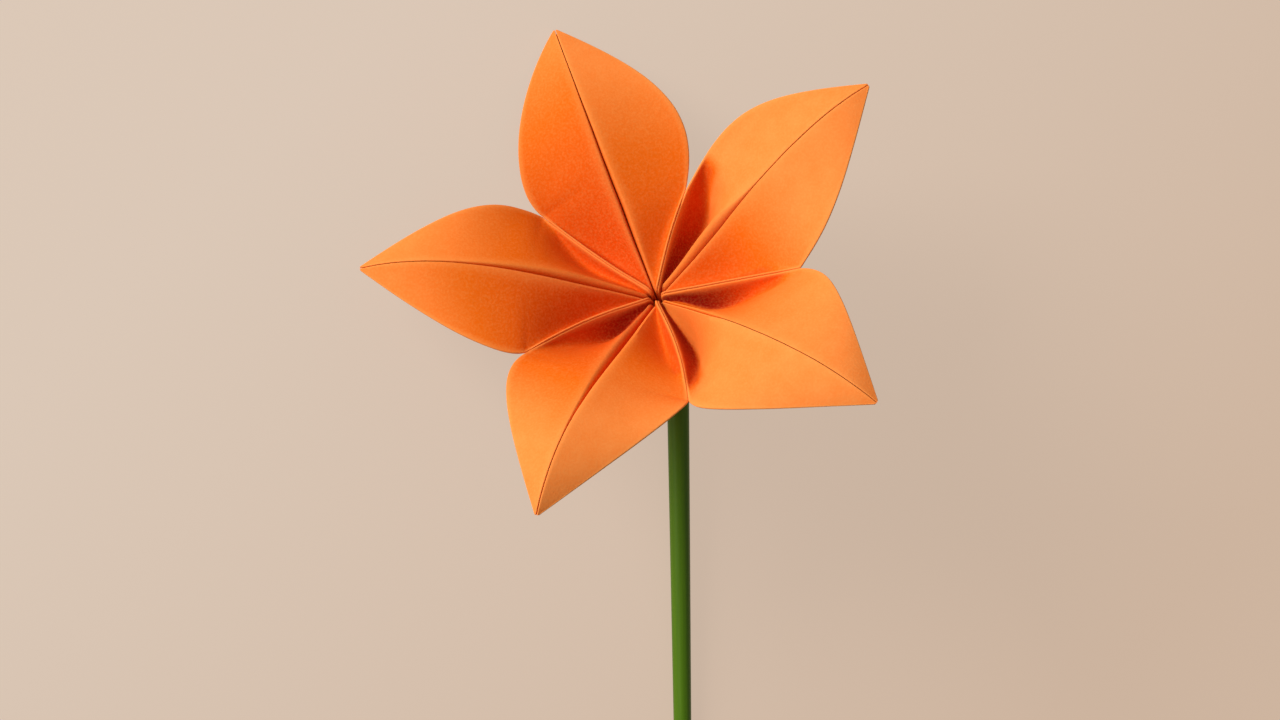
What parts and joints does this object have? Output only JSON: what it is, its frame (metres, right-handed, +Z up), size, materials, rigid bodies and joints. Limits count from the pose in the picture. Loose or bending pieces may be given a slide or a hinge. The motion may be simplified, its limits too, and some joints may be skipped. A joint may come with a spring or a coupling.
{
  "type": "origami lily",
  "caption": "Folded paper lily: petals folded from squares and joined back to back round the throat, on a bent round stem, lying on its side as a decoration.",
  "frame": {"origin": "middle of the lily's footprint, on the surface that it lies on", "axes": "+Z up, +Y from the stem's cut end towards the flower, +X to the right as the flower is seen from above its stem"},
  "size_m": [0.101, 0.2296, 0.0749],
  "materials": {
    "petal_paper": "uncoated orange craft paper, matt, with a fine grain",
    "stem_paper": "tightly rolled green paper, satin"
  },
  "bodies": {
    "root": {"petal_1": "petal_paper", "petal_2": "petal_paper", "petal_3": "petal_paper", "petal_4": "petal_paper", "petal_5": "petal_paper", "stem": "stem_paper"}
  },
  "joints": []
}
